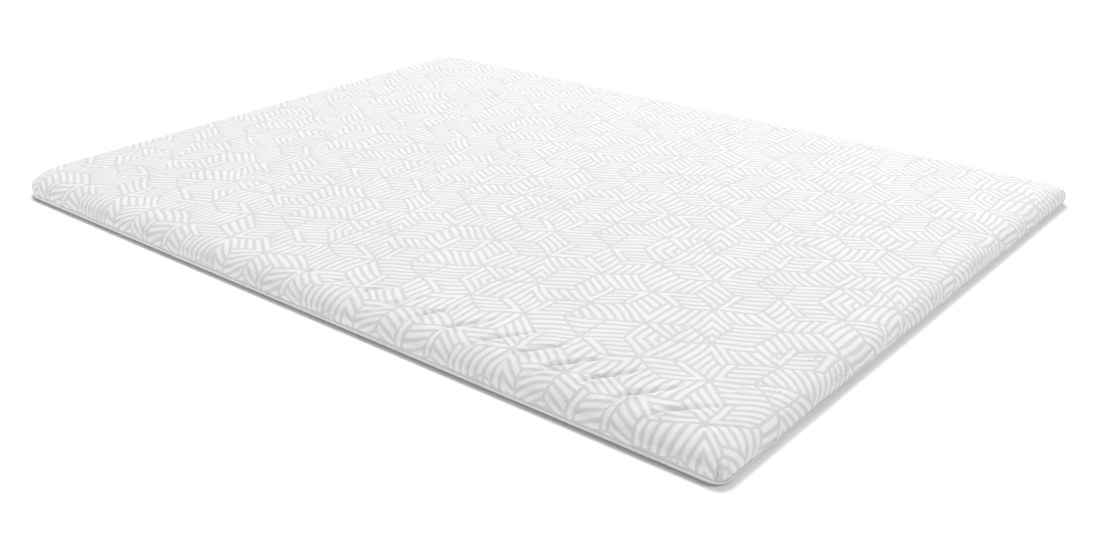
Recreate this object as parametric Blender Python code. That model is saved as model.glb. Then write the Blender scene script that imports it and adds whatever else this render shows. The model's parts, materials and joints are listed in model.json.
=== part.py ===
"""Foam-filled mattress topper for a 150 x 200 cm bed, lying flat.

A slab of foam is wrapped in one piece of figured stretch knit, which spans the top and rolls
over soft shoulders down all four sides. A plain knit base cloth closes the underside, and its
edge is turned up round the foam to meet the figured knit in a seam.

Frame: origin on the surface that the topper lies on, under its middle. +X runs along the length,
+Y across the width and +Z up. The near long side, which has the tucks, is at -Y.
"""

import math
from typing import NamedTuple

import bmesh
import bpy
import numpy as np

# Overall size, metres
LENGTH = 2.000
WIDTH = 1.500
THICKNESS = 0.055

# Body: the widest line of the side, the shoulder above it and the crown of the top
WIDEST_HEIGHT = 0.020
SHOULDER_RUN = 0.052
SHOULDER_FULLNESS = 2.25
CROWN_RISE = 0.002
CROWN_SPREAD = 4

# Base cloth: its thickness, and how high its edge is turned up on the long and the short sides
CLOTH = 0.002
LONG_SEAM_HEIGHT = 0.0085
SHORT_SEAM_HEIGHT = 0.0045
SEAM_DRAW_IN = 0.0025
CLOTH_BEND = 0.0030
CLEARANCE = 0.0004

# Points of the mesh round the outline. Along X they stand four to a tuck where the tucks are.
# Across the width they are shares of the straight run, closer together at the near side.
TUCK_SPACING = 0.077
FINE_FROM, FINE_TO = -0.035, 0.865
FINE_STEP = TUCK_SPACING / 4
COARSE_FROM, COARSE_STEP = -0.790, 0.096
ROWS_ACROSS = (0.02, 0.04, 0.06, 0.09, 0.14, 0.24, 0.38, 0.52, 0.66, 0.80, 0.93)
HALF_ARC = 4
SHOULDER_ROWS = 7
SHARP_EDGE = math.radians(50)

WHITE_KNIT = (0.86, 0.86, 0.84, 1.0)
PALE_KNIT = (0.68, 0.68, 0.66, 1.0)
KNIT_ROUGHNESS = 0.9


class Corner(NamedTuple):
    """Which way a corner lies, and its plan radius at the widest line and at the edge of the top."""

    way: tuple
    radius: float
    top_radius: float


# The cover pulls some corners in more than others
CORNERS = (
    Corner(way=(-1, -1), radius=0.080, top_radius=0.120),
    Corner(way=(1, -1), radius=0.024, top_radius=0.090),
    Corner(way=(1, 1), radius=0.016, top_radius=0.084),
    Corner(way=(-1, 1), radius=0.034, top_radius=0.094),
)


class Tuck(NamedTuple):
    """A soft trough in the top, from a point near an edge and fading inwards."""

    x: float
    y: float
    heading: float
    length: float
    depth: float
    width: float


# Headings in degrees from +X towards +Y
TUCKS = (
    Tuck(x=0.080, y=-0.695, heading=66, length=0.060, depth=0.0010, width=0.012),
    Tuck(x=0.157, y=-0.700, heading=64, length=0.070, depth=0.0012, width=0.012),
    Tuck(x=0.236, y=-0.698, heading=63, length=0.075, depth=0.0014, width=0.012),
    Tuck(x=0.314, y=-0.704, heading=65, length=0.085, depth=0.0018, width=0.012),
    Tuck(x=0.384, y=-0.697, heading=63, length=0.090, depth=0.0020, width=0.012),
    Tuck(x=0.464, y=-0.692, heading=60, length=0.110, depth=0.0026, width=0.013),
    Tuck(x=0.539, y=-0.690, heading=58, length=0.115, depth=0.0026, width=0.013),
    Tuck(x=0.616, y=-0.688, heading=58, length=0.110, depth=0.0030, width=0.013),
    Tuck(x=0.697, y=-0.689, heading=55, length=0.120, depth=0.0028, width=0.014),
    Tuck(x=0.774, y=-0.687, heading=56, length=0.110, depth=0.0028, width=0.013),
    Tuck(x=0.849, y=-0.690, heading=48, length=0.110, depth=0.0026, width=0.014),
    Tuck(x=0.925, y=-0.695, heading=44, length=0.080, depth=0.0020, width=0.013),
    Tuck(x=0.925, y=-0.398, heading=27, length=0.085, depth=0.0016, width=0.013),
)

# A tuck starts this share of its length before its point, and is deepest soon after it
TUCK_LEAD = 0.25
TUCK_EARLY = 0.6


def stations_x():
    """Points along the long sides, close together over the tucks."""
    coarse = np.arange(COARSE_FROM, FINE_FROM - COARSE_STEP / 2, COARSE_STEP)
    fine = np.arange(FINE_FROM, FINE_TO, FINE_STEP)
    return np.concatenate([coarse, fine])


def stations_y(low, high):
    """Points along a short side whose straight run goes from low to high."""
    return low + (high - low) * np.array(ROWS_ACROSS)


def corner_point(number, inset, rolled, degrees):
    """A point on the arc of one corner, with its outward normal."""
    corner = CORNERS[number % 4]
    radius = corner.radius + (corner.top_radius - corner.radius) * rolled
    centre = np.array(corner.way) * (np.array([LENGTH, WIDTH]) / 2 - inset - radius)
    angle = math.radians(degrees)
    normal = np.array([math.cos(angle), math.sin(angle)])
    return centre + radius * normal, normal


def outline(inset, rolled=0.0):
    """Points and outward normals round the topper, from the middle of the corner at -X, -Y.

    The row lies inset from the widest line. Rolled is how far it is from there to the top, 0 to 1.
    """
    step = 45 / HALF_ARC
    found = []
    for side in range(4):
        facing = 270 + 90 * side
        first, normal = corner_point(side, inset, rolled, facing)
        last, _ = corner_point(side + 1, inset, rolled, facing)
        for k in range(-HALF_ARC, 1):
            found.append(corner_point(side, inset, rolled, facing + step * k))
        if side % 2 == 0:
            between = [(x, first[1]) for x in stations_x()]
        else:
            between = [(first[0], y) for y in stations_y(*sorted((first[1], last[1])))]
        if side >= 2:
            between.reverse()
        found += [(np.array(point), normal) for point in between]
        for k in range(HALF_ARC):
            found.append(corner_point(side + 1, inset, rolled, facing + step * k))
    points, normals = zip(*found)
    return np.array(points), np.array(normals)


def seam_height(clearance=0.0):
    """Height of the turned-up edge at each point of a row: higher on the long sides."""
    _, normals = outline(0)
    faces_y = normals[:, 1] ** 2
    return LONG_SEAM_HEIGHT * faces_y + SHORT_SEAM_HEIGHT * (1 - faces_y) + clearance


def tuck_depth(x, y):
    """How far the tucks pull the top down at a point."""
    total = 0.0
    for tuck in TUCKS:
        heading = math.radians(tuck.heading)
        dx, dy = x - tuck.x, y - tuck.y
        along = (dx * math.cos(heading) + dy * math.sin(heading)) / tuck.length
        across = (dy * math.cos(heading) - dx * math.sin(heading)) / tuck.width
        share = (along + TUCK_LEAD) / (1 + TUCK_LEAD)
        if 0 < share < 1:
            fade = math.sin(math.pi * share**TUCK_EARLY)
            total += tuck.depth * fade * math.exp(-across * across)
    return total


def top_height(x, y):
    """The top: nearly flat, with a slight crown, and pulled down along the tucks."""
    out_x = abs(x) / (LENGTH / 2 - SHOULDER_RUN)
    out_y = abs(y) / (WIDTH / 2 - SHOULDER_RUN)
    crown = max(0.0, 1 - out_x**CROWN_SPREAD) * max(0.0, 1 - out_y**CROWN_SPREAD)
    return THICKNESS - CROWN_RISE * (1 - crown) - tuck_depth(x, y)


def shoulder(step):
    """Inset and height of the shoulder, from the widest line to the edge of the top."""
    angle = math.pi / 2 * step / SHOULDER_ROWS
    power = 2 / SHOULDER_FULLNESS
    inset = SHOULDER_RUN * (1 - math.cos(angle) ** power)
    rise = THICKNESS - CROWN_RISE - WIDEST_HEIGHT
    return inset, WIDEST_HEIGHT + rise * math.sin(angle) ** power


def row_of_points(inset, heights, rolled=0.0):
    """One closed row of points round the topper."""
    points, _ = outline(inset, rolled)
    return np.column_stack([points, np.broadcast_to(heights, len(points))])


def add_walls(mesh, rows):
    """Joins rows of points, lowest first, with bands of quads. Returns each row's vertices."""
    rings = [[mesh.verts.new(point) for point in row] for row in rows]
    for lower, upper in zip(rings, rings[1:]):
        for i in range(len(lower)):
            mesh.faces.new((lower[i - 1], lower[i], upper[i], upper[i - 1]))
    return rings


def side_of(ring, side):
    """The points of one side of a row, from corner to corner, both ends included."""
    long_count = len(stations_x()) + 2 * HALF_ARC + 1
    short_count = len(ROWS_ACROSS) + 2 * HALF_ARC + 1
    starts = np.cumsum([0, long_count, short_count, long_count, short_count])
    return [ring[i % len(ring)] for i in range(starts[side], starts[side + 1] + 1)]


def add_top(mesh, ring):
    """Fills the inside of the last row of the shoulder with a grid of quads."""
    near, right = side_of(ring, 0), side_of(ring, 1)
    far, left = side_of(ring, 2)[::-1], side_of(ring, 3)[::-1]
    first, last = near[0].co, far[-1].co
    columns = [(vert.co.x - first.x) / (last.x - first.x) for vert in near]
    rows = [(vert.co.y - first.y) / (last.y - first.y) for vert in right]
    grid = [near]
    for j in range(1, len(rows) - 1):
        v = rows[j]
        line = [left[j]]
        for i in range(1, len(columns) - 1):
            u = columns[i]
            across = near[i].co.lerp(far[i].co, v)
            along = left[j].co.lerp(right[j].co, u)
            ends = near[0].co.lerp(near[-1].co, u).lerp(far[0].co.lerp(far[-1].co, u), v)
            place = across + along - ends
            line.append(mesh.verts.new((place.x, place.y, top_height(place.x, place.y))))
        line.append(right[j])
        grid.append(line)
    grid.append(far)
    for lower, upper in zip(grid, grid[1:]):
        for i in range(len(lower) - 1):
            mesh.faces.new((lower[i], lower[i + 1], upper[i + 1], upper[i]))


def finish_object(mesh, name, colour):
    """Makes a named object with its own material from a mesh in the making."""
    bmesh.ops.recalc_face_normals(mesh, faces=mesh.faces)
    data = bpy.data.meshes.new(name)
    mesh.to_mesh(data)
    mesh.free()
    data.shade_smooth()
    data.set_sharp_from_angle(angle=SHARP_EDGE)
    made = bpy.data.objects.new(name, data)
    bpy.context.collection.objects.link(made)
    material = bpy.data.materials.new(name)
    material.use_nodes = True
    shader = material.node_tree.nodes["Principled BSDF"]
    shader.inputs["Base Color"].default_value = colour
    shader.inputs["Roughness"].default_value = KNIT_ROUGHNESS
    shader.inputs["Metallic"].default_value = 0.0
    data.materials.append(material)
    return made


def make_figured_pad():
    """The filled body: foam in its figured knit, drawn in at the seam, seated in the base cloth."""
    seam = seam_height(CLEARANCE)
    floor = CLOTH + CLEARANCE
    inside = SEAM_DRAW_IN + floor
    rows = [
        row_of_points(inside + CLOTH_BEND, floor),
        row_of_points(inside, np.minimum(floor + CLOTH_BEND, (floor + seam) / 2)),
        row_of_points(inside, seam),
        row_of_points(SEAM_DRAW_IN, seam),
        row_of_points(SEAM_DRAW_IN / 4, (seam + WIDEST_HEIGHT) / 2),
    ]
    for step in range(SHOULDER_ROWS + 1):
        inset, height = shoulder(step)
        row = row_of_points(inset, height, inset / SHOULDER_RUN)
        row[:, 2] -= [tuck_depth(x, y) * step / SHOULDER_ROWS for x, y, _ in row]
        rows.append(row)
    mesh = bmesh.new()
    rings = add_walls(mesh, rows)
    mesh.faces.new(rings[0][::-1])
    add_top(mesh, rings[-1])
    return finish_object(mesh, "figured_pad", WHITE_KNIT)


def make_base_cloth():
    """The underside: one plain sheet with its edge turned up round the foam as far as the seam."""
    seam = seam_height()
    rows = [
        row_of_points(SEAM_DRAW_IN + CLOTH_BEND, 0.0),
        row_of_points(SEAM_DRAW_IN, np.minimum(CLOTH_BEND, seam / 2)),
        row_of_points(SEAM_DRAW_IN, seam),
    ]
    mesh = bmesh.new()
    rings = add_walls(mesh, rows)
    mesh.faces.new(rings[0][::-1])
    made = finish_object(mesh, "base_cloth", PALE_KNIT)
    thicken = made.modifiers.new("cloth thickness", "SOLIDIFY")
    thicken.thickness = CLOTH
    thicken.offset = -1
    thicken.use_even_offset = True
    return made


def main():
    for item in list(bpy.data.objects):
        bpy.data.objects.remove(item)
    make_figured_pad()
    make_base_cloth()


main()
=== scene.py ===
import json
import math
from typing import NamedTuple

import bmesh
import bpy
import numpy as np
from mathutils import Matrix, Vector
from mathutils.bvhtree import BVHTree

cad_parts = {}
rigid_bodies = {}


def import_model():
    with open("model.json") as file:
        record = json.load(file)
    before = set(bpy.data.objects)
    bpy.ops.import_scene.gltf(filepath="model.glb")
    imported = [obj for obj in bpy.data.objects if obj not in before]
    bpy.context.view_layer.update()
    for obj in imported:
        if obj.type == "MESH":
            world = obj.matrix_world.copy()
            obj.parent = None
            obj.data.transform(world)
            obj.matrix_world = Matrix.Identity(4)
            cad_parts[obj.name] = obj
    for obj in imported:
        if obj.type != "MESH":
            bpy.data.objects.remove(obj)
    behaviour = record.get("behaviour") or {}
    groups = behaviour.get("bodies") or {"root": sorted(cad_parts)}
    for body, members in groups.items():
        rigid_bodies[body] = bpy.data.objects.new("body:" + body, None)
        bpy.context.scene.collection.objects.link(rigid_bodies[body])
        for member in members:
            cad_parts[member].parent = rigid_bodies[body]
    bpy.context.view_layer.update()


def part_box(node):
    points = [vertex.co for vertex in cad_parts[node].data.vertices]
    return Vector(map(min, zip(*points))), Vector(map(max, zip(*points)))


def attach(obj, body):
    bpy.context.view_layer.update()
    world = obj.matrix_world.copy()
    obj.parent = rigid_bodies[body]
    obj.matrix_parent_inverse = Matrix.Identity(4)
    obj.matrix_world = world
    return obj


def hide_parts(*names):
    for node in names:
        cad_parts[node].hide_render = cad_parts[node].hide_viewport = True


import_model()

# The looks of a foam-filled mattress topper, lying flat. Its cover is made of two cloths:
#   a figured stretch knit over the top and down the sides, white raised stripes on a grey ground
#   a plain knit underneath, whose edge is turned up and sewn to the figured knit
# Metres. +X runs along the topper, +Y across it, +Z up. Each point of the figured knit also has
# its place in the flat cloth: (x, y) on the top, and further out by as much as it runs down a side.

MM = 0.001
PAD_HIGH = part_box("figured_pad")[1]
BASE_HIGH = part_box("base_cloth")[1]

# ---------------------------------------------------------------- sizes of the topper

HALF_LENGTH = PAD_HIGH.x
HALF_WIDTH = PAD_HIGH.y
THICKNESS = PAD_HIGH.z
# The top rises this much from its edge to its middle, and stays flatter the higher the spread
CROWN_RISE = 2 * MM
CROWN_SPREAD = 4

# The side, seen in section: a soft shoulder from the top down to the widest line, then drawn in
SHOULDER_RUN = 52 * MM
SHOULDER_FULLNESS = 2.25
WIDEST_HEIGHT = 20 * MM
SEAM_DRAW_IN = 1.8 * MM
# From the middle to the edge of the top, along X and along Y
TOP_REACH = np.array([HALF_LENGTH - SHOULDER_RUN, HALF_WIDTH - SHOULDER_RUN])
# The seam's heights on the long and on the short sides, and the groove and gap along it
SEAM_HEIGHTS = (BASE_HIGH.z, 4.5 * MM)
SEAM_GROOVE = 0.2 * MM
SEAM_GAP = 0.3 * MM
# The pad's underside inside the base cloth: its height, and its share of the seam's outline
UNDERSIDE = 1.6 * MM
UNDERSIDE_SHARE = 0.98


class Corner(NamedTuple):
    """Which way a corner lies, and its radius at the widest line and at the edge of the top."""

    way: tuple
    radius: float
    top_radius: float


# Corners and sides are numbered from the left and near ones on, anticlockwise as seen from above
CORNERS = (
    Corner(way=(-1, -1), radius=80 * MM, top_radius=120 * MM),
    Corner(way=(1, -1), radius=24 * MM, top_radius=90 * MM),
    Corner(way=(1, 1), radius=16 * MM, top_radius=84 * MM),
    Corner(way=(-1, 1), radius=34 * MM, top_radius=94 * MM),
)
SIDES = ((0, -1), (1, 0), (0, 1), (-1, 0))
# In degrees from +X towards +Y
NEAR_SIDE_FACES = 270

# How many steps the mesh of the cover takes round half a corner, down the shoulder and below it
ARC_STEPS = 10
SHOULDER_STEPS = 17
LOWER_STEPS = 5


class Cells(NamedTuple):
    """How far apart the lines of the mesh stand, far from the tucks and near them."""

    far_x: float
    near_x: float
    far_y: float
    near_y: float


SKIN_CELLS = Cells(far_x=9 * MM, near_x=2.8 * MM, far_y=22 * MM, near_y=1.9 * MM)
# The tucks lie beyond these two lines
CLOSE_FROM_X = -50 * MM
CLOSE_TO_Y = -580 * MM

# ---------------------------------------------------------------- the outline, row by row


def side_shares(cells):
    """Where the points stand along the straight run of the long and of the short sides, 0 to 1."""
    start = -HALF_LENGTH + SHOULDER_RUN + CORNERS[0].top_radius
    end = HALF_LENGTH - SHOULDER_RUN - CORNERS[1].top_radius
    along = np.concatenate([
        np.arange(start, CLOSE_FROM_X, cells.far_x)[1:],
        np.arange(CLOSE_FROM_X, end - cells.near_x / 2, cells.near_x),
    ])
    low = -HALF_WIDTH + SHOULDER_RUN + CORNERS[1].top_radius
    high = HALF_WIDTH - SHOULDER_RUN - CORNERS[2].top_radius
    across = np.concatenate([
        np.arange(low, CLOSE_TO_Y, cells.near_y)[1:],
        np.arange(CLOSE_TO_Y, high - cells.far_y / 2, cells.far_y),
    ])
    return (along - start) / (end - start), (across - low) / (high - low)


def side_row(shares, side, inset, rolled):
    """Points of one side in one row, from the middle of one corner to the middle of the next."""
    facing = math.radians(NEAR_SIDE_FACES + 90 * side)
    arcs = []
    for corner, sweep in ((CORNERS[side], (-45, 0)), (CORNERS[(side + 1) % 4], (0, 45))):
        radius = corner.radius + (corner.top_radius - corner.radius) * rolled
        centre = np.array(corner.way) * (np.array([HALF_LENGTH, HALF_WIDTH]) - inset - radius)
        angles = facing + np.radians(np.linspace(*sweep, ARC_STEPS + 1))
        arcs.append(centre + radius * np.column_stack([np.cos(angles), np.sin(angles)]))
    steps = shares[side % 2]
    if side >= 2:
        steps = 1 - steps[::-1]
    first, last = arcs[0][-1], arcs[1][0]
    straight = first + (last - first) * steps[:, None]
    return np.concatenate([arcs[0], straight, arcs[1]])


def shoulder_profile():
    """Rows from the edge of the top down to the widest line: how far in each lies, its height."""
    angles = np.linspace(math.pi / 2, 0, SHOULDER_STEPS + 1)
    power = 2 / SHOULDER_FULLNESS
    inset = SHOULDER_RUN * (1 - np.cos(angles).clip(0) ** power)
    rise = THICKNESS - CROWN_RISE - WIDEST_HEIGHT
    return np.column_stack([inset, WIDEST_HEIGHT + rise * np.sin(angles) ** power])


def row_heights(side, points, level):
    """Heights of a row below the widest line. Level is 0 there and 1 at the seam."""
    faces_y = abs(SIDES[side][1])
    straight = SEAM_HEIGHTS[0] if faces_y else SEAM_HEIGHTS[1]
    middle = (SEAM_HEIGHTS[0] + SEAM_HEIGHTS[1]) / 2
    reach = np.full(len(points), straight)
    turn = (1 - np.cos(np.linspace(0, math.pi / 2, ARC_STEPS + 1))) * (middle - straight)
    reach[:ARC_STEPS + 1] += turn[::-1]
    reach[-ARC_STEPS - 1:] += turn
    return WIDEST_HEIGHT + (reach + SEAM_GAP - WIDEST_HEIGHT) * level


# ---------------------------------------------------------------- tucks and unevenness


class Tuck(NamedTuple):
    """A drag line in the top: a sharp crease that starts near an edge and fades inwards.

    Its heading is in degrees from +X towards +Y.
    """

    x: float
    y: float
    heading: float
    length: float
    depth: float


TUCKS = (
    Tuck(x=0.004, y=-0.688, heading=62, length=0.060, depth=3.0 * MM),
    Tuck(x=0.080, y=-0.690, heading=60, length=0.070, depth=4.0 * MM),
    Tuck(x=0.157, y=-0.684, heading=60, length=0.080, depth=5.0 * MM),
    Tuck(x=0.236, y=-0.688, heading=58, length=0.085, depth=6.0 * MM),
    Tuck(x=0.314, y=-0.686, heading=58, length=0.100, depth=7.5 * MM),
    Tuck(x=0.391, y=-0.682, heading=56, length=0.100, depth=8.0 * MM),
    Tuck(x=0.470, y=-0.684, heading=54, length=0.110, depth=9.0 * MM),
    Tuck(x=0.549, y=-0.678, heading=54, length=0.110, depth=9.0 * MM),
    Tuck(x=0.622, y=-0.683, heading=53, length=0.115, depth=10.0 * MM),
    Tuck(x=0.702, y=-0.674, heading=54, length=0.115, depth=9.0 * MM),
    Tuck(x=0.777, y=-0.683, heading=52, length=0.110, depth=9.5 * MM),
    Tuck(x=0.850, y=-0.687, heading=45, length=0.115, depth=9.0 * MM),
    Tuck(x=0.926, y=-0.690, heading=42, length=0.070, depth=5.5 * MM),
    Tuck(x=0.905, y=-0.545, heading=35, length=0.080, depth=4.5 * MM),
    Tuck(x=0.915, y=-0.398, heading=27, length=0.085, depth=4.0 * MM),
)
# Across a tuck: a sharp crease between two walls, and a low ridge of taut cloth on the near side.
# The far wall is wide at the start of the tuck and narrows to its end.
TUCK_FAR_WALL = (14 * MM, 6 * MM)
TUCK_WALL_ROUND = 1.3
TUCK_NEAR_WALL = 5 * MM
TUCK_RIDGE = 15 * MM
TUCK_RIDGE_WIDTH = 10.5 * MM
TUCK_RIDGE_SHARE = 0.35
# Along a tuck: it deepens over this distance, and fades evenly or, below 1, later
TUCK_START = 9 * MM
TUCK_FADE = 0.8
# The soft fold that runs from the start of a tuck down the shoulder, with a ridge on its left
FOLD_HEADING = 256
FOLD_LENGTH = 75 * MM
FOLD_WIDTH = 7 * MM
FOLD_SHARE = 0.65
FOLD_RIDGE = 14 * MM
FOLD_RIDGE_WIDTH = 9.8 * MM
FOLD_RIDGE_SHARE = 0.6
# Painted shade along each crease: the cloth's colour is darkened on both sides of it, further on the
# far side
PAINTED_SHADE_NEAR = 2.5 * MM
PAINTED_SHADE_FAR = 12 * MM
DEEPEST_TUCK = 10 * MM


def bell(distance, width):
    """A smooth hump, 1 at the middle and fading over its width on both sides."""
    return np.exp(-(distance / width) ** 2)


def started(along):
    """How far a tuck or fold has set in, 0 to 1, at distances along it."""
    return (along / TUCK_START + 0.5).clip(0, 1)


def along_and_across(places, x, y, heading):
    """Distances from a point, along a heading and to the left of it."""
    angle = math.radians(heading)
    dx, dy = places[:, 0] - x, places[:, 1] - y
    return dx * math.cos(angle) + dy * math.sin(angle), dy * math.cos(angle) - dx * math.sin(angle)


def tuck_depth(places):
    """How far the tucks pull the cloth in, at places in the flat cloth."""
    total = np.zeros(len(places))
    for tuck in TUCKS:
        along, across = along_and_across(places, tuck.x, tuck.y, tuck.heading)
        share = (along / tuck.length).clip(0, 1)
        far_wall = TUCK_FAR_WALL[0] + (TUCK_FAR_WALL[1] - TUCK_FAR_WALL[0]) * share
        near_side = np.exp(across / TUCK_NEAR_WALL)
        far_side = (1 - across / far_wall).clip(0, 1) ** TUCK_WALL_ROUND
        crease = np.where(across < 0, near_side, far_side)
        ridge = bell(across + TUCK_RIDGE, TUCK_RIDGE_WIDTH)
        start = started(along)
        fade = start * start * (3 - 2 * start) * (1 - share) ** TUCK_FADE
        total += tuck.depth * fade * (crease - TUCK_RIDGE_SHARE * ridge)
        along, across = along_and_across(places, tuck.x, tuck.y, FOLD_HEADING)
        fade = started(along) * (1 - along / FOLD_LENGTH).clip(0, 1)
        ridge = bell(across - FOLD_RIDGE, FOLD_RIDGE_WIDTH)
        fold = bell(across, FOLD_WIDTH) - FOLD_RIDGE_SHARE * ridge
        total += FOLD_SHARE * tuck.depth * fade * fold
    return total


def painted_crease_shade(places):
    """How much shade is painted into the cloth along the tucks' creases, 0 to 1, which makes the
    cloth look greyer there.
    """
    total = np.zeros(len(places))
    for tuck in TUCKS:
        along, across = along_and_across(places, tuck.x, tuck.y, tuck.heading)
        share = (along / tuck.length).clip(0, 1)
        width = np.where(across < 0, PAINTED_SHADE_NEAR, PAINTED_SHADE_FAR)
        painted_shade = (1 - share) * (1 - abs(across) / width).clip(0)
        total += tuck.depth / DEEPEST_TUCK * started(along) * painted_shade
    return total.clip(0, 1)


class Pleat(NamedTuple):
    """A small fold that gathers the spare cloth at a corner. Off is its distance from the middle."""

    off: float
    width: float
    depth: float


# For each corner, in the order of CORNERS
PLEATS = (
    (
        Pleat(off=0, width=3.0 * MM, depth=1.2 * MM),
        Pleat(off=14 * MM, width=4 * MM, depth=0.6 * MM),
    ),
    (
        Pleat(off=3 * MM, width=2.2 * MM, depth=4.5 * MM),
        Pleat(off=-9 * MM, width=3 * MM, depth=1.8 * MM),
        Pleat(off=-19 * MM, width=4 * MM, depth=1.2 * MM),
    ),
    (
        Pleat(off=0, width=2.4 * MM, depth=2.0 * MM),
        Pleat(off=9 * MM, width=3 * MM, depth=0.8 * MM),
    ),
    (
        Pleat(off=0, width=2.6 * MM, depth=1.6 * MM),
        Pleat(off=-12 * MM, width=4 * MM, depth=0.7 * MM),
    ),
)
# A pleat is deepest up to the lower height, gone at the upper one, and fades towards the seam
PLEAT_LOW = 14 * MM
PLEAT_HIGH = 44 * MM
PLEAT_END = 7 * MM
# Pleats stay this close to the middle of their corner
PLEAT_REACH = 60 * MM
# A ridge on each side of a pleat: its distance and width in widths of the pleat, and its height
PLEAT_RIDGE = 2.2
PLEAT_RIDGE_WIDTH = 1.5
PLEAT_RIDGE_SHARE = 0.5


def pleat_depth(points):
    """How far the pleats at the corners pull the cloth in, at points of the cover."""
    total = np.zeros(len(points))
    fade = ((PLEAT_HIGH - points[:, 2]) / (PLEAT_HIGH - PLEAT_LOW)).clip(0, 1)
    fade = fade * ((points[:, 2] - SEAM_HEIGHTS[0]) / PLEAT_END).clip(0, 1)
    for corner, pleats in zip(CORNERS, PLEATS):
        way = np.array(corner.way)
        centre = way * (np.array([HALF_LENGTH, HALF_WIDTH]) - corner.radius)
        out = (points[:, :2] - centre) @ way / math.sqrt(2)
        round_it = (points[:, :2] - centre) @ np.array([-way[1], way[0]]) / math.sqrt(2)
        near = (out > 0) & (abs(round_it) < PLEAT_REACH)
        for pleat in pleats:
            aside = round_it - pleat.off * way[0] * way[1]
            ridge_off = abs(aside) - PLEAT_RIDGE * pleat.width
            ridge = bell(ridge_off, PLEAT_RIDGE_WIDTH * pleat.width)
            fold = bell(aside, pleat.width) - PLEAT_RIDGE_SHARE * ridge
            total += near * fade * pleat.depth * fold
    return total


def top_height(x, y):
    """Height of the top: nearly flat, with a slight crown."""
    out_x = abs(x) / TOP_REACH[0]
    out_y = abs(y) / TOP_REACH[1]
    crown = (1 - out_x ** CROWN_SPREAD).clip(0) * (1 - out_y ** CROWN_SPREAD).clip(0)
    return THICKNESS - CROWN_RISE * (1 - crown)


# ---------------------------------------------------------------- the figured knit as a mesh


class Cover:
    """The figured knit as a mesh of quads, with each quad corner's place in the flat cloth."""

    def __init__(self):
        self.points = np.zeros((0, 3))
        self.quads = np.zeros((0, 4), int)
        self.flat = np.zeros((0, 4, 2))
        self.rim = np.zeros(0, int)

    def add_points(self, points):
        """Adds points and returns their numbers."""
        start = len(self.points)
        self.points = np.concatenate([self.points, points])
        return np.arange(start, start + len(points))

    def add_strip(self, lower, upper, flat_lower, flat_upper):
        """Joins two lines of points with quads."""
        quads = np.column_stack([lower[:-1], lower[1:], upper[1:], upper[:-1]])
        places = np.stack([flat_lower[:-1], flat_lower[1:], flat_upper[1:], flat_upper[:-1]], 1)
        self.quads = np.concatenate([self.quads, quads])
        self.flat = np.concatenate([self.flat, places])

    def places_of_points(self):
        """A place in the flat cloth for each point."""
        places = np.zeros((len(self.points), 2))
        places[self.quads] = self.flat
        return places


def laid_line(side, points, heights, past):
    """A line along one side of the cover: its points, and their places in the flat cloth.

    The places lie further out than the points, by what the cloth has run down the side.
    """
    return np.column_stack([points, heights]), points + past[:, None] * np.array(SIDES[side])


def cover_rows(shares):
    """Rows round the cover from the edge of the top down to the seam, each a line for each side."""
    profile = shoulder_profile()
    steps = np.hypot(*np.diff(profile, axis=0).T)
    run = np.concatenate([[0], np.cumsum(steps)])
    for (inset, height), distance in zip(profile, run):
        row = []
        for side in range(4):
            points = side_row(shares, side, inset, inset / SHOULDER_RUN)
            heights = np.full(len(points), height)
            past = np.full(len(points), distance - SHOULDER_RUN + inset)
            row.append(laid_line(side, points, heights, past))
        yield row
    levels = [(level, 0) for level in np.linspace(0, 1, LOWER_STEPS + 1)[1:]]
    for level, groove in levels + [(1, SEAM_GROOVE)]:
        row = []
        for side in range(4):
            points = side_row(shares, side, SEAM_DRAW_IN * level ** 2 + groove, 0)
            heights = row_heights(side, points, level)
            past = run[-1] - SHOULDER_RUN + WIDEST_HEIGHT - heights + groove
            row.append(laid_line(side, points, heights, past))
        yield row


def knit_cover(cells):
    """The figured knit over the top and down the four sides as far as the seam."""
    cover = Cover()
    rows = list(cover_rows(side_shares(cells)))
    rings = []
    for row in rows:
        numbers = cover.add_points(np.concatenate([points[:-1] for points, _ in row]))
        round_it = np.append(numbers, numbers[0])
        starts = np.cumsum([0] + [len(points) - 1 for points, _ in row])
        rings.append([round_it[start:end + 1] for start, end in zip(starts, starts[1:])])
    for upper, lower, upper_row, lower_row in zip(rings, rings[1:], rows, rows[1:]):
        for side in range(4):
            cover.add_strip(lower[side], upper[side], lower_row[side][1], upper_row[side][1])
    cover.rim = np.concatenate([line[:-1] for line in rings[-1]])
    lay_top(cover, *rings[0])
    return cover


def lay_top(cover, near, right, far, left):
    """Fills the ring at the edge of the top with rows of quads that follow all four sides."""
    far = far[::-1]
    left = left[::-1]
    place = cover.points[:, :2]
    u = (place[near, 0] - place[near[0], 0]) / np.ptp(place[near, 0])
    v = (place[right, 1] - place[right[0], 1]) / np.ptp(place[right, 1])
    u = u[None, :, None]
    v = v[:, None, None]
    along = place[near][None] * (1 - v) + place[far][None] * v
    across = place[left][:, None] * (1 - u) + place[right][:, None] * u
    corners = (place[near[0]] * (1 - u) + place[near[-1]] * u) * (1 - v)
    corners = corners + (place[far[0]] * (1 - u) + place[far[-1]] * u) * v
    inner = along + across - corners
    grid = np.zeros(inner.shape[:2], int)
    grid[0], grid[-1], grid[:, 0], grid[:, -1] = near, far, left, right
    middle = inner[1:-1, 1:-1].reshape(-1, 2)
    numbers = cover.add_points(np.column_stack([middle, top_height(*middle.T)]))
    grid[1:-1, 1:-1] = numbers.reshape(inner.shape[0] - 2, -1)
    place = cover.points[:, :2]
    for lower, upper in zip(grid, grid[1:]):
        cover.add_strip(lower, upper, place[lower], place[upper])


# ---------------------------------------------------------------- colours and materials


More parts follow.
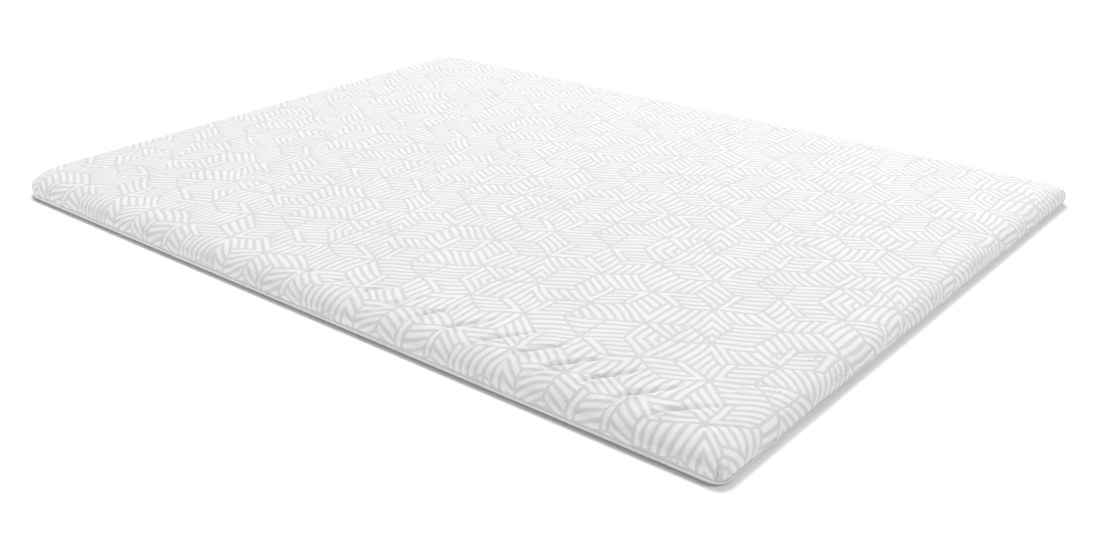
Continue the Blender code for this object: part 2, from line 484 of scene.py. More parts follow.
def linear(hex_colour):
    """A colour written as sRGB hex, as linear values."""
    channels = [int(hex_colour[i:i + 2], 16) / 255 for i in (1, 3, 5)]
    return [c / 12.92 if c <= 0.04045 else ((c + 0.055) / 1.055) ** 2.4 for c in channels] + [1]


# Undyed polyester and cotton yarns, each with the shade that its darker stretches reach
WHITE_YARN = linear("#ededeb")
WHITE_YARN_SHADE = linear("#e6e6e4")
GREY_YARN = linear("#d6d6d4")
GREY_YARN_SHADE = linear("#d0d0ce")
PLAIN_YARN = linear("#efefed")
PLAIN_YARN_SHADE = linear("#e8e8e6")

# Sizes of the unevenness of the yarns' colour, from single yarns up to broad patches of the cloth
YARN_PATCH = 5 * MM
YARN_DETAIL = 3.0
CLOTH_PATCH = 130 * MM
CLOTH_DETAIL = 1.0
CLOTH_PATCH_SHARE = 0.8
UNEVEN_FROM = 0.6
UNEVEN_TO = 1.2

# The real loops are about 1.3 mm wide and 1.1 mm high, too fine to show, so they are drawn twice
# as coarse. The lean and depth of a stitch are shares of its height and of its relief.
LOOP_WIDTH = 2.6 * MM
LOOP_HEIGHT = 2.2 * MM
LOOP_LEAN = 0.18
LOOP_RELIEF = 0.25 * MM
STITCH_DEPTH = 0.35
# Colour between the loops, what their tops add to it, and how far the painted shade in the tucks'
# creases darkens it
LOOP_HOLLOW_TONE = 0.93
LOOP_TOP_TONE = 0.10
PAINTED_SHADE_STRENGTH = 0.24

# Stitches step up the edge of a band every second loop, over this length and reach
STEP_LENGTH = 4.4 * MM
STEP_REACH = 2.6 * MM
EDGE_BLEND = 0.7 * MM

MATH = "ShaderNodeMath"
NOISE = "ShaderNodeTexNoise"


def node(tree, kind, inputs=(), **settings):
    """Adds a node with its settings and links, and returns it.

    The inputs are named or listed in order. Each is a value, an output that feeds it, or a node
    whose first output does.
    """
    made = tree.nodes.new(kind)
    for key, value in settings.items():
        setattr(made, key, value)
    pairs = inputs.items() if isinstance(inputs, dict) else enumerate(inputs)
    for key, value in pairs:
        if isinstance(value, bpy.types.Node):
            value = value.outputs[0]
        if isinstance(value, bpy.types.NodeSocket):
            tree.links.new(value, made.inputs[key])
        else:
            made.inputs[key].default_value = value
    return made


def start_material(name):
    """A material with no nodes yet, and its node tree."""
    material = bpy.data.materials.new(name)
    material.use_nodes = True
    material.node_tree.nodes.clear()
    return material, material.node_tree


def knit_loops(tree, s, t):
    """Height of the knit's loops, 0 to 1: columns of leaning stitches."""
    turns = node(tree, MATH, (s, math.pi / LOOP_WIDTH), operation="MULTIPLY")
    wave = node(tree, MATH, (turns,), operation="SINE")
    column = node(tree, MATH, (wave,), operation="ABSOLUTE")
    lean = node(tree, MATH, (column, LOOP_LEAN * 2 * math.pi), operation="MULTIPLY")
    rows = node(tree, MATH, (t, 2 * math.pi / LOOP_HEIGHT, lean), operation="MULTIPLY_ADD")
    row = node(tree, MATH, (rows,), operation="SINE")
    stitch = node(tree, MATH, (row, STITCH_DEPTH, 1 - STITCH_DEPTH), operation="MULTIPLY_ADD")
    return node(tree, MATH, (column, stitch), operation="MULTIPLY")


def uneven_yarn(tree, place, light, dark):
    """A colour between two, uneven along single yarns and in broad patches of the cloth."""
    fine = node(tree, NOISE, {"Vector": place, "Scale": 1 / YARN_PATCH, "Detail": YARN_DETAIL})
    broad = node(tree, NOISE, {"Vector": place, "Scale": 1 / CLOTH_PATCH, "Detail": CLOTH_DETAIL})
    both = node(tree, MATH, (broad, CLOTH_PATCH_SHARE, fine), operation="MULTIPLY_ADD")
    share = node(tree, "ShaderNodeMapRange",
                 {"Value": both, "From Min": UNEVEN_FROM, "From Max": UNEVEN_TO})
    mixed = node(tree, "ShaderNodeMix", {"Factor": share, "A": light, "B": dark}, data_type="RGBA")
    return mixed.outputs["Result"]


def finish_knit(tree, colour, loops):
    """Knit of matte yarn, darker between its loops, and darkened by painted shade along the tucks'
    creases.

    Polyester and cotton yarn, knitted and left unpressed, scatters the light: it looks soft and
    dull, with no highlight, only a faint sheen from fibre ends where it is seen edge on.
    """
    tone = node(tree, MATH, (loops, LOOP_TOP_TONE, LOOP_HOLLOW_TONE), operation="MULTIPLY_ADD")
    # Painted shade: the colour darkens along the tucks' creases, by the value stored on the mesh
    painted_shade = node(tree, "ShaderNodeAttribute", attribute_name="painted_shade").outputs["Fac"]
    crease_tone = node(tree, MATH, (painted_shade, -PAINTED_SHADE_STRENGTH, 1.0), operation="MULTIPLY_ADD")
    both = node(tree, MATH, (tone, crease_tone), operation="MULTIPLY")
    shaded = node(tree, "ShaderNodeVectorMath", {0: colour, "Scale": both}, operation="SCALE")
    relief = node(tree, "ShaderNodeBump",
                  {"Height": loops, "Distance": LOOP_RELIEF, "Strength": 1.0})
    shader = node(tree, "ShaderNodeBsdfPrincipled", {
        "Base Color": shaded,
        "Normal": relief,
        "Metallic": 0.0,
        "Roughness": 0.88,
        "IOR": 1.46,
        "Sheen Weight": 0.12,
        "Sheen Roughness": 0.5,
    })
    node(tree, "ShaderNodeOutputMaterial", {"Surface": shader})


def cloth_places(tree):
    """The place in the flat cloth, as a vector and as its two parts."""
    place = node(tree, "ShaderNodeUVMap", uv_map="cloth")
    s, t, _ = node(tree, "ShaderNodeSeparateXYZ", (place,)).outputs
    return place, s, t


def ground_knit():
    """Ground of the figured stretch knit, in grey yarn: flat, dull and close, with small loops."""
    material, tree = start_material("ground_knit")
    place, s, t = cloth_places(tree)
    colour = uneven_yarn(tree, place, GREY_YARN, GREY_YARN_SHADE)
    finish_knit(tree, colour, knit_loops(tree, s, t))
    return material


def band_knit():
    """Bands of the figured stretch knit, in bulky white yarn: puffed up, soft and lighter.

    White and grey stitches meet at a band's edge, so it steps up and down stitch by stitch.
    """
    material, tree = start_material("band_knit")
    place, s, t = cloth_places(tree)
    own_place = node(tree, "ShaderNodeUVMap", uv_map="band")
    across = node(tree, "ShaderNodeSeparateXYZ", (own_place,)).outputs[1]
    off_middle = node(tree, MATH, (across,), operation="ABSOLUTE")
    step = node(tree, MATH, (s, STEP_LENGTH / 2), operation="PINGPONG")
    climb = 2 * STEP_REACH / STEP_LENGTH
    low = (WHITE_WIDTH - STEP_REACH) / 2
    limit = node(tree, MATH, (step, climb, low), operation="MULTIPLY_ADD")
    inside = node(tree, MATH, (limit, off_middle), operation="SUBTRACT")
    white = node(tree, "ShaderNodeMapRange",
                 {"Value": inside, "From Min": -EDGE_BLEND, "From Max": EDGE_BLEND})
    colours = {
        "Factor": white,
        "A": uneven_yarn(tree, place, GREY_YARN, GREY_YARN_SHADE),
        "B": uneven_yarn(tree, place, WHITE_YARN, WHITE_YARN_SHADE),
    }
    mixed = node(tree, "ShaderNodeMix", colours, data_type="RGBA")
    finish_knit(tree, mixed.outputs["Result"], knit_loops(tree, s, t))
    return material


def plain_knit():
    """Plain knit of the underside, in fine pale yarn: thin, smooth and even, with fine ribs."""
    material, tree = start_material("plain_knit")
    place = node(tree, "ShaderNodeTexCoord").outputs["Object"]
    x, y, z = node(tree, "ShaderNodeSeparateXYZ", (place,)).outputs
    along = node(tree, MATH, (x, y), operation="ADD")
    level = node(tree, MATH, (x, y), operation="SUBTRACT")
    across = node(tree, MATH, (level, z), operation="ADD")
    colour = uneven_yarn(tree, place, PLAIN_YARN, PLAIN_YARN_SHADE)
    finish_knit(tree, colour, knit_loops(tree, along, across))
    return material


# ---------------------------------------------------------------- the figure of stripes

# Striped lozenges on a grid of equal triangles. A lozenge is four stripes across.
LOZENGE_EDGE = 76 * MM
LOZENGE_LONG = LOZENGE_EDGE * math.sqrt(3)
STRIPES = 4
STRIPE_PITCH = LOZENGE_EDGE * math.sqrt(3) / 2 / STRIPES

# The four points of a lozenge that lies along X
LEFT = np.array([-LOZENGE_LONG / 2, 0])
RIGHT = np.array([LOZENGE_LONG / 2, 0])
UP = np.array([0, LOZENGE_EDGE / 2])
DOWN = np.array([0, -LOZENGE_EDGE / 2])


class Field(NamedTuple):
    """Part of a lozenge with stripes in one direction. Open edges are crossed by the stripes."""

    corners: tuple
    direction: float
    open_edges: tuple = ()
    first_only: bool = False


def hooked(direction, tip, other):
    """One band along the two edges that meet at the tip, and plain stripes inside it."""
    share = 1 - 2 * STRIPE_PITCH / LOZENGE_LONG
    inner = tuple(other + (corner - other) * share for corner in (LEFT, DOWN, RIGHT, UP))
    slant = 30 if tip is LEFT else -30
    return (
        Field((LEFT, RIGHT, UP), slant, open_edges=(0,), first_only=True),
        Field((LEFT, DOWN, RIGHT), -slant, open_edges=(2,), first_only=True),
        Field(inner, direction),
    )


WHOLE = (LEFT, DOWN, RIGHT, UP)
LEFT_HALF = (LEFT, DOWN, UP)
RIGHT_HALF = (DOWN, RIGHT, UP)
UPPER_HALF = (LEFT, RIGHT, UP)
LOWER_HALF = (LEFT, DOWN, RIGHT)
# The ways to fill a lozenge with stripes
FILLS = {
    "a": (Field(WHOLE, 30),),
    "b": (Field(WHOLE, -30),),
    "w": (Field(LEFT_HALF, 30, (1,)), Field(RIGHT_HALF, -30, (2,))),
    "m": (Field(LEFT_HALF, -30, (1,)), Field(RIGHT_HALF, 30, (2,))),
    "l": (Field(UPPER_HALF, 30, (0,)), Field(LOWER_HALF, -30, (2,))),
    "r": (Field(UPPER_HALF, -30, (0,)), Field(LOWER_HALF, 30, (2,))),
    "s": (Field(LEFT_HALF, 90), Field(RIGHT_HALF, 30)),
    "t": (Field(LEFT_HALF, -30), Field(RIGHT_HALF, 90)),
    "j": hooked(30, LEFT, RIGHT),
    "k": hooked(-30, LEFT, RIGHT),
    "y": hooked(30, RIGHT, LEFT),
    "z": hooked(-30, RIGHT, LEFT),
}

# The chart that repeats over the cloth. Each word is the three lozenges above and to the right
# of a point where six of them meet.
CHART = (
    ("jab", "zka", "byk"),
    ("akz", "jbs", "yaw"),
    ("bzj", "taj", "kbr"),
)


def turned(points, degrees):
    """Points turned about the origin, from +X towards +Y."""
    angle = math.radians(degrees)
    turn = np.array([[math.cos(angle), -math.sin(angle)], [math.sin(angle), math.cos(angle)]])
    return np.asarray(points) @ turn.T


def charted_fields(reach_x, reach_y):
    """All the fields of the figure that touch a rectangle round the middle of the cloth."""
    row_rise = LOZENGE_LONG * math.sqrt(3) / 2
    rows = math.ceil(reach_y / row_rise) + 1
    columns = math.ceil(reach_x / LOZENGE_LONG) + 1
    for j in range(-rows, rows + 1):
        words = CHART[j % len(CHART)]
        lean = j / 2
        for i in range(math.floor(-columns - lean), math.ceil(columns - lean) + 1):
            meeting = np.array([LOZENGE_LONG * (i + lean), row_rise * j])
            for turn, letter in zip((0, 60, 120), words[i % len(words)]):
                centre = meeting + turned((LOZENGE_LONG / 2, 0), turn)
                beyond = abs(centre) - (reach_x, reach_y)
                if (beyond > LOZENGE_EDGE).any():
                    continue
                for field in FILLS[letter]:
                    corners = turned(np.array(field.corners), turn) + centre
                    yield corners, field.direction + turn, field.open_edges, field.first_only


# A white band is raised on the ground and sinks into it at its edges. The lines that run along it
# are given by their distance from its middle, as a share of half its width, and their rise.
BAND_WIDTH = 12.0 * MM
WHITE_WIDTH = 9.6 * MM
BAND_RISE = 0.25 * MM
BAND_SINK = 0.15 * MM
ACROSS = np.array([-1, -0.8, -0.42, 0, 0.42, 0.8, 1]) * BAND_WIDTH / 2
RISES = np.array([0, 0.6, 0.92, 1, 0.92, 0.6, 0]) * BAND_RISE
RISES[[0, -1]] = -BAND_SINK
LINES = len(ACROSS)
# The bands end this far short of the seam
SEAM_MARGIN = 2.0 * MM
# A closed end slopes down over the cap, which takes up no more than a share of a short band
CAP = 1.0 * MM
CAP_MOST = 0.2
# A shorter band is left out
SHORTEST = 3.5 * MM
# Steps along a band on the top, over the shoulders and in the tucks
LONG_STEP = 18 * MM
SHORT_STEP = 7 * MM
TUCK_STEP = 3.5 * MM
# A lozenge this near the edge of the top takes the short steps
NEAR_SHOULDER = 45 * MM
# In metres, longer than any band and too small to count
ENDLESS = 9.0
NOTHING = 1e-6


def field_limits(corners, along, open_edges, reach):
    """The lines where stripes along a direction end: their field's edges, and the cloth's reach.

    Each is its inward direction, its level there, how fast a stripe rises in that direction, and
    whether the stripes cross it.
    """
    limits = []
    for e in range(len(corners)):
        start, end = corners[e], corners[(e + 1) % len(corners)]
        edge = (end - start) / np.linalg.norm(end - start)
        inward = np.array([-edge[1], edge[0]])
        opened = e in open_edges
        margin = 0 if opened else (STRIPE_PITCH - BAND_WIDTH) / 2
        limits.append((inward, inward @ start + margin, inward @ along, opened))
    for axis in range(2):
        for sign in (1, -1):
            inward = np.zeros(2)
            inward[axis] = sign
            limits.append((inward, -reach[axis], inward @ along, False))
    return [limit for limit in limits if abs(limit[2]) > NOTHING]


def stripes_of(corners, direction, open_edges, first_only, reach):
    """The stripes of one field: the lines along each, their starts and ends, and its open ends."""
    angle = math.radians(direction)
    along = np.array([math.cos(angle), math.sin(angle)])
    side = np.array([-along[1], along[0]])
    limits = field_limits(corners, along, open_edges, reach)
    reaches = np.sort(corners @ side)
    count = round((reaches[-1] - reaches[0]) / STRIPE_PITCH)
    numbers = range(count)
    if first_only:
        along_lowest = reaches[1] - reaches[0] < NOTHING
        numbers = [0 if along_lowest else count - 1]
    for number in numbers:
        middle = reaches[0] + (number + 0.5) * STRIPE_PITCH
        lines = side * (middle + ACROSS)[:, None]
        starts, ends = np.full(LINES, -ENDLESS), np.full(LINES, ENDLESS)
        start_open = end_open = False
        for inward, level, slope, opened in limits:
            cut = (level - lines @ inward) / slope
            if slope > 0:
                if cut.mean() > starts.mean():
                    start_open = opened
                starts = np.maximum(starts, cut)
            else:
                if cut.mean() < ends.mean():
                    end_open = opened
                ends = np.minimum(ends, cut)
        halfway = (starts + ends) / 2
        starts, ends = np.minimum(starts, halfway), np.maximum(ends, halfway)
        if (ends - starts).mean() > SHORTEST:
            yield lines, along, starts, ends, start_open, end_open


class Wave(NamedTuple):
    """A wave over the flat cloth: its size, its radians a metre along X and Y, and its start."""

    size: float
    turns_x: float
    turns_y: float
    start: float = 0


def wave_height(wave, places):
    """Height of a wave at places in the flat cloth."""
    s, t = places.T
    return wave.size * np.sin(wave.turns_x * s + wave.turns_y * t + wave.start)


# The knit isn't quite even: its stripes bow, and lie up to a few millimetres off their place
BOWS_X = (Wave(3.2 * MM, 33, 23), Wave(1.8 * MM, -24, 61))
BOWS_Y = (Wave(3.2 * MM, -31, 29, start=1), Wave(1.8 * MM, 59, 31))


def bowed(places):
    """Places in the flat cloth, moved by the unevenness of the knit."""
    moves = [sum(wave_height(wave, places) for wave in bows) for bows in (BOWS_X, BOWS_Y)]
    return places + np.column_stack(moves)


def step_at(place):
    """How far apart a band's cross lines stand in a field whose middle is this place."""
    if place[0] > CLOSE_FROM_X and place[1] < CLOSE_TO_Y:
        return TUCK_STEP
    if (abs(place) > TOP_REACH - NEAR_SHOULDER).any():
        return SHORT_STEP
    return LONG_STEP


def lay_out_bands(reach):
    """The bands as flat strips: places in the cloth, rise above it, faces, and their own places."""
    places, rises, faces, own = [], [], [], []
    total = 0
    for corners, direction, open_edges, first_only in charted_fields(*reach):
        step = step_at(corners.mean(0))
        for stripe in stripes_of(corners, direction, open_edges, first_only, reach):
            lines, along, starts, ends, start_open, end_open = stripe
            length = (ends - starts).mean()
            count = max(1, round(length / step))
            shares = np.linspace(0, 1, count + 1)
            cap = min(CAP_MOST, CAP / length)
            level = np.ones(count + 1)
            if not start_open:
                shares = np.concatenate([[0, cap], shares[1:]])
                level = np.concatenate([[0], level])
            if not end_open:
                shares = np.concatenate([shares[:-1], [1 - cap, 1]])
                level = np.concatenate([level, [0]])
            far = starts + (ends - starts) * shares[:, None]
            place = lines[None] + far[:, :, None] * along
            size = len(shares)
            first = total + np.arange(size - 1)[:, None] * LINES + np.arange(LINES - 1)
            quads = np.stack([first, first + LINES, first + LINES + 1, first + 1], 2)
            places.append(place.reshape(-1, 2))
            rises.append((RISES * level[:, None] - BAND_SINK * (1 - level[:, None])).reshape(-1))
            faces.append(quads.reshape(-1, 4))
            own.append(np.stack([far, np.broadcast_to(ACROSS, far.shape)], 2).reshape(-1, 2))
            total += size * LINES
    return [np.concatenate(part) for part in (places, rises, faces, own)]


# ---------------------------------------------------------------- from flat cloth to the pad


def make_mesh(name, points, faces, material):
    """A smooth mesh object."""
    mesh = bpy.data.meshes.new(name)
    mesh.from_pydata(points.tolist(), [], faces)
    mesh.shade_smooth()
    mesh.materials.append(material)
    made = bpy.data.objects.new(name, mesh)
    bpy.context.collection.objects.link(made)
    return made


def add_places(made, name, places):
    """Stores a place for each corner of each face, in metres, as a UV map."""
    layer = made.data.uv_layers.new(name=name)
    layer.data.foreach_set("uv", np.asarray(places, np.float32).reshape(-1))


def store_painted_shade(made, places):
    """Stores how much shade is painted into the cloth at each point, along the tucks' creases."""
    layer = made.data.attributes.new("painted_shade", "FLOAT", "POINT")
    layer.data.foreach_set("value", painted_crease_shade(places).astype(np.float32))


def point_normals(points, faces):
    """The direction away from the pad at each point."""
    a, b, c, d = (points[faces[:, k]] for k in range(4))
    facing = np.cross(c - a, d - b)
    total = np.zeros_like(points)
    for k in range(4):
        np.add.at(total, faces[:, k], facing)
    return total / np.linalg.norm(total, axis=1)[:, None]


def cross2(a, b):
    """The cross product of flat vectors."""
    return a[:, 0] * b[:, 1] - a[:, 1] * b[:, 0]


class Wrap:
    """Carries places in the flat cloth to the cover on the pad."""

    def __init__(self, cover):
        faces, flat = cover.quads, cover.flat
        self.points, self.normals = cover.points, point_normals(cover.points, faces)
        self.tris = np.concatenate([faces[:, [0, 1, 2]], faces[:, [0, 2, 3]]])
        self.flat = np.concatenate([flat[:, [0, 1, 2]], flat[:, [0, 2, 3]]])
        corners = self.flat.reshape(-1, 2)
        upright = np.column_stack([corners, np.zeros(len(corners))])
        thirds = np.arange(len(corners)).reshape(-1, 3)
        self.tree = BVHTree.FromPolygons(upright.tolist(), thirds.tolist())

    def find(self, places):
        """The three points of the cover round each place, their weights, and if the place is there.

        A place that isn't there, in the notch cut out at a corner, moves to the notch's edge.
        """
        down = Vector((0, 0, -1))
        hits = [self.tree.ray_cast(Vector((s, t, 1)), down)[2] for s, t in places.tolist()]
        found = np.array([hit is not None for hit in hits])
        index = np.array([0 if hit is None else hit for hit in hits])
        places = places.copy()
        for i in np.flatnonzero(~found):
            nearest, _, index[i], _ = self.tree.find_nearest(Vector((*places[i], 0)))
            places[i] = nearest[:2]
        a, b, c = (self.flat[index, k] for k in range(3))
        area = cross2(b - a, c - a)
        weight_b = cross2(places - a, c - a) / area
        weight_c = cross2(b - a, places - a) / area
        weights = np.column_stack([1 - weight_b - weight_c, weight_b, weight_c])[:, :, None]
        return self.tris[index], weights, found

    def carry(self, places, rises):
        """Points on the cover, raised above it, and which of the places the cover has."""
        corners, weights, found = self.find(places)
        place = (self.points[corners] * weights).sum(1)
        normal = (self.normals[corners] * weights).sum(1)
        normal /= np.linalg.norm(normal, axis=1)[:, None]
        return place + normal * rises[:, None], found


# The cloth is laid loosely over the pad as a coarse blank, and the foam presses it outwards. It is
# fixed at the seam and in the creases, and the foam holds it elsewhere, more on the top and
# unevenly, in patches.
BLANK_CELLS = Cells(far_x=30 * MM, near_x=9 * MM, far_y=30 * MM, near_y=9 * MM)
TOP_HOLD = 0.65
SIDE_HOLD = 0.4
HOLD_UNEVENNESS = 0.25
HOLD_PATCHES = (Wave(1, 9, 14), Wave(1, 13, -6, start=1))
FOAM_PRESSURE = 4.0
SETTLE_FRAMES = 20
# The cloth moves no further than the first, and a move below the second counts as none
MOST_MOVE = 4 * MM
STILL = 0.001 * MM


def draw_in(cover):
    """Pulls the cover in at its tucks and pleats."""
    depth = tuck_depth(cover.places_of_points()) + pleat_depth(cover.points)
    cover.points = cover.points - point_normals(cover.points, cover.quads) * depth[:, None]


def hold_of(blank):
    """How firmly each point of the blank is held, from 0 for free to 1 for fixed."""
    places = blank.places_of_points()
    first, second = (wave_height(wave, places) for wave in HOLD_PATCHES)
    on_side = (abs(places) > TOP_REACH).any(1)
    hold = np.where(on_side, SIDE_HOLD, TOP_HOLD) * (1 + HOLD_UNEVENNESS * first * second)
    hold = np.maximum(hold, np.sqrt(painted_crease_shade(places)))
    hold[blank.rim] = 1
    return hold.round(2)


def settled_moves(places):
    """How far the cloth moves, at places in the flat cloth, when it settles on the foam."""
    blank = knit_cover(BLANK_CELLS)
    draw_in(blank)
    sheet = make_mesh("blank", blank.points, blank.quads.tolist(), None)
    held = sheet.vertex_groups.new(name="held")
    hold = hold_of(blank)
    for weight in np.unique(hold):
        held.add(np.flatnonzero(hold == weight).tolist(), float(weight), "REPLACE")
    cloth = sheet.modifiers.new("cloth", "CLOTH")
    cloth.settings.vertex_group_mass = "held"
    cloth.settings.use_pressure = True
    cloth.settings.uniform_pressure_force = FOAM_PRESSURE
    cloth.settings.effector_weights.gravity = 0
    cloth.collision_settings.use_collision = False
    cloth.point_cache.frame_end = SETTLE_FRAMES
    for frame_number in range(1, SETTLE_FRAMES + 1):
        bpy.context.scene.frame_set(frame_number)
    shaped = sheet.evaluated_get(bpy.context.evaluated_depsgraph_get()).data
    points = np.empty(blank.points.size)
    shaped.vertices.foreach_get("co", points)
    bpy.context.scene.frame_set(1)
    bpy.data.objects.remove(sheet)
    moves = points.reshape(-1, 3) - blank.points
    lengths = np.linalg.norm(moves, axis=1)
    moves *= (np.minimum(lengths, MOST_MOVE) / np.maximum(lengths, STILL))[:, None]
    corners, weights, _ = Wrap(blank).find(places)
    return (moves[corners] * weights).sum(1)


def make_cover():
    """The figured knit: one watertight skin for the ground, and the white bands raised on it."""
    cover = knit_cover(SKIN_CELLS)
    draw_in(cover)
    cover.points = cover.points + settled_moves(cover.places_of_points())
    wrap = Wrap(cover)
    skin = make_mesh("figured_cover", cover.points, cover.quads.tolist(), ground_knit())
    add_places(skin, "cloth", cover.flat)
    store_painted_shade(skin, cover.places_of_points())
    close_underneath(skin, cover.rim)
    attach(skin, "root")
    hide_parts("figured_pad")
    make_bands(wrap)


def make_bands(wrap):
    """The white bands, in four quarters."""
    reach = abs(wrap.flat).max((0, 1)) - SEAM_MARGIN
    places, rises, quads, own = lay_out_bands(tuple(reach))
    uneven = bowed(places).clip(-reach, reach)
    points, found = wrap.carry(uneven, rises)
    kept = quads[found[quads].any(1)]
    white = band_knit()
    middle = places[kept[:, 0]]
    quarter = (middle[:, 0] > 0) * 1 + (middle[:, 1] > 0) * 2
    for number, where in enumerate(("near_left", "near_right", "far_left", "far_right")):
        chosen = kept[quarter == number]
        used, renumbered = np.unique(chosen, return_inverse=True)
        faces = renumbered.reshape(-1, 4).tolist()
        band = make_mesh(f"bands_{where}", points[used], faces, white)
        add_places(band, "band", own[chosen.reshape(-1)])
        add_places(band, "cloth", uneven[chosen.reshape(-1)])
        store_painted_shade(band, uneven[used])
        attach(band, "root")


def close_underneath(skin, rim):
    """Closes the cover inside the base cloth, where the foam rests."""
    work = bmesh.new()
    work.from_mesh(skin.data)
    work.verts.ensure_lookup_table()
    upper = [work.verts[i] for i in rim]
    share = UNDERSIDE_SHARE
    lower = [work.verts.new((v.co.x * share, v.co.y * share, UNDERSIDE)) for v in upper]
    for i in range(len(upper)):
        work.faces.new((lower[i - 1], lower[i], upper[i], upper[i - 1]))
    work.faces.new(lower[::-1])
    bmesh.ops.recalc_face_normals(work, faces=work.faces)
    work.to_mesh(skin.data)
    work.free()


# ---------------------------------------------------------------- base cloth


class BaseRow(NamedTuple):
    """A row of the base cloth: how far in it lies, and its height.

    The height is in metres underneath, and a share of the seam's height where the edge turns up.
    """

    inset: float
    height: float
    turned_up: bool = False


# From under the topper, lifted a little off the floor, round the foam and up to the seam
BASE_ROWS = (
    BaseRow(inset=14.0 * MM, height=0),
    BaseRow(inset=9.0 * MM, height=0.2 * MM),
    BaseRow(inset=5.0 * MM, height=0.6 * MM),
    BaseRow(inset=2.8 * MM, height=0.15, turned_up=True),
    BaseRow(inset=1.7 * MM, height=0.25, turned_up=True),
    BaseRow(inset=1.1 * MM, height=0.40, turned_up=True),
    BaseRow(inset=1.0 * MM, height=0.62, turned_up=True),
    BaseRow(inset=1.2 * MM, height=0.82, turned_up=True),
    BaseRow(inset=1.8 * MM, height=0.95, turned_up=True),
    BaseRow(inset=2.5 * MM, height=1, turned_up=True),
)
BASE_THICKNESS = 1.2 * MM


def make_base():
    """The plain knit underside, with its edge turned up round the foam to the seam."""
    shares = side_shares(SKIN_CELLS)
    rings = []
    for row in BASE_ROWS:
        ring = []
        for side in range(4):
            points = side_row(shares, side, row.inset, 0)
            seam = row_heights(side, points, 1) - SEAM_GAP
            heights = row.height * seam if row.turned_up else np.full(len(points), row.height)
            ring.append(np.column_stack([points, heights])[:-1])
        rings.append(np.concatenate(ring))
    size = len(rings[0])
    around = np.arange(size)
    quads = []
    for number in range(len(rings) - 1):
        lower = number * size + around
        upper = lower + size
        quads.append(np.column_stack([lower, np.roll(lower, -1), np.roll(upper, -1), upper]))
    faces = np.concatenate(quads).tolist() + [around[::-1].tolist()]
    made = make_mesh("base_sheet", np.concatenate(rings), faces, plain_knit())
    thick = made.modifiers.new("cloth thickness", "SOLIDIFY")
    thick.thickness = BASE_THICKNESS
    thick.offset = -1
    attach(made, "root")
    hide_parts("base_cloth")


# ---------------------------------------------------------------- floor, light and camera


FLOOR_WHITE = linear("#fcfcfc")
FLOOR_REACH = 10.0
FLOOR_DROP = 0.2 * MM


def pale_floor():
    """Matt white paper: pale and even, with no gloss."""
    material, tree = start_material("pale_floor")
    shader = node(tree, "ShaderNodeBsdfPrincipled", {
        "Base Color": FLOOR_WHITE,
        "Roughness": 1.0,
        "Specular IOR Level": 0.0,
    })
    node(tree, "ShaderNodeOutputMaterial", {"Surface": shader})
    return material


def make_floor():
    """A plain pale floor, just below the topper."""
    ways = np.array([(-1, -1, 0), (1, -1, 0), (1, 1, 0), (-1, 1, 0)])
    floor = make_mesh("floor", ways * FLOOR_REACH, [(0, 1, 2, 3)], pale_floor())
    floor.location.z = -FLOOR_DROP
    return floor


class Lamp(NamedTuple):
    """A round soft lamp, aimed at the middle of the topper. Share is the light it adds to the top.

    It is screened to light the topper, the floor or both. On the floor its light is as even as
    if it came from very far.
    """

    name: str
    azimuth: float
    elevation: float
    size: float
    share: float
    lights: tuple = ("topper", "floor")


LAMP_DISTANCE = 6.0
# The room's own light, as a share of white
ROOM_LIGHT = 0.12
ON_TOPPER = ("topper",)
ON_FLOOR = ("floor",)
LAMPS = (
    Lamp("back_left_lamp", azimuth=142, elevation=59, size=1.6, share=0.392),
    Lamp("back_right_lamp", azimuth=34, elevation=60, size=1.6, share=0.274),
    Lamp("low_back_lamp", azimuth=90, elevation=20, size=1.6, share=0.168, lights=ON_TOPPER),
    Lamp("low_left_lamp", azimuth=-150, elevation=12, size=1.6, share=0.056),
    Lamp("front_lamp", azimuth=-90, elevation=36, size=1.8, share=0.182, lights=ON_TOPPER),
    Lamp("low_right_lamp", azimuth=0, elevation=12, size=1.6, share=0.050, lights=ON_TOPPER),
    Lamp("floor_lamp", azimuth=130, elevation=62, size=3.4, share=0.24, lights=ON_FLOOR),
)


def add_lamp(lamp, lit):
    """A light for each thing that the lamp lights: a disc for the topper, a sun for the floor."""
    rise = math.sin(math.radians(lamp.elevation))
    flat = math.cos(math.radians(lamp.elevation))
    turn = math.radians(lamp.azimuth)
    way = Vector((flat * math.cos(turn), flat * math.sin(turn), rise))
    for thing in lamp.lights:
        name = f"{lamp.name}_on_{thing}"
        if thing == "topper":
            light = bpy.data.lights.new(name, "AREA")
            light.shape = "DISK"
            light.size = lamp.size
            light.energy = lamp.share * (math.pi * LAMP_DISTANCE) ** 2 / rise
        else:
            light = bpy.data.lights.new(name, "SUN")
            light.angle = 2 * math.atan(lamp.size / 2 / LAMP_DISTANCE)
            light.energy = lamp.share * math.pi / rise
        made = bpy.data.objects.new(name, light)
        bpy.context.collection.objects.link(made)
        made.location = way * LAMP_DISTANCE
        made.rotation_mode = "QUATERNION"
        made.rotation_quaternion = (-way).to_track_quat("-Z", "Y")
        made.light_linking.receiver_collection = lit[thing]


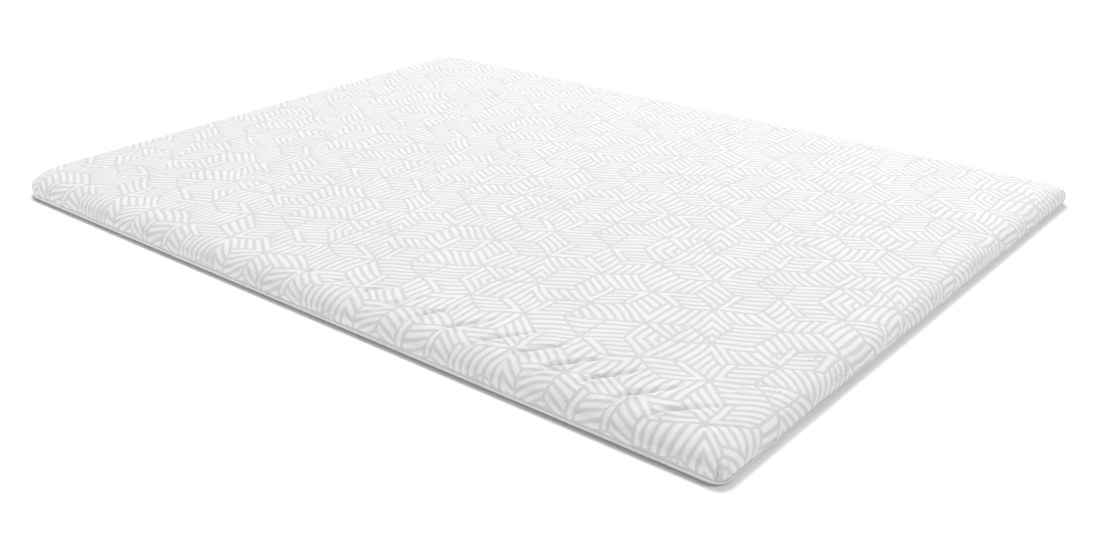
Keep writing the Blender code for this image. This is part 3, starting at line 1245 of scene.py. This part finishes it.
def light_studio(floor):
    """A dim room, white where it is seen, with strong lamps behind and weaker ones in front."""
    world = bpy.data.worlds.new("white room")
    bpy.context.scene.world = world
    world.use_nodes = True
    tree = world.node_tree
    tree.nodes.clear()
    seen = node(tree, "ShaderNodeLightPath").outputs["Is Camera Ray"]
    strength = node(tree, MATH, (seen, 1 - ROOM_LIGHT, ROOM_LIGHT), operation="MULTIPLY_ADD")
    white = (1, 1, 1, 1)
    room = node(tree, "ShaderNodeBackground", {"Color": white, "Strength": strength})
    node(tree, "ShaderNodeOutputWorld", {"Surface": room})
    lit = {thing: bpy.data.collections.new(thing) for thing in ON_TOPPER + ON_FLOOR}
    for made in bpy.context.scene.objects:
        if made.type == "MESH":
            lit["floor" if made is floor else "topper"].objects.link(made)
    for lamp in LAMPS:
        add_lamp(lamp, lit)
    bpy.context.scene.view_settings.view_transform = "Standard"


# Fitted to the outline of the topper in the photograph. The angles are in degrees: yaw from +Y
# towards +X, pitch downwards, and roll.
CAMERA_PLACE = (1.7670, -2.0614, 1.0344)
CAMERA_ANGLES = (-39.775, 24.487, -0.469)
LENS = 39.73
SENSOR_WIDTH = 36


def place_camera():
    """The camera at the photograph's angle."""
    yaw, pitch, roll = (math.radians(angle) for angle in CAMERA_ANGLES)
    flat = math.cos(pitch)
    forward = Vector((math.sin(yaw) * flat, math.cos(yaw) * flat, -math.sin(pitch)))
    level = Vector((math.cos(yaw), -math.sin(yaw), 0))
    upright = level.cross(forward)
    right = level * math.cos(roll) + upright * math.sin(roll)
    up = upright * math.cos(roll) - level * math.sin(roll)
    data = bpy.data.cameras.new("camera")
    data.lens = LENS
    data.sensor_width = SENSOR_WIDTH
    data.sensor_fit = "HORIZONTAL"
    camera = bpy.data.objects.new("camera", data)
    bpy.context.collection.objects.link(camera)
    turn = Matrix((right, up, -forward)).transposed().to_4x4()
    camera.matrix_world = Matrix.Translation(CAMERA_PLACE) @ turn
    bpy.context.scene.camera = camera


make_cover()
make_base()
light_studio(make_floor())
place_camera()
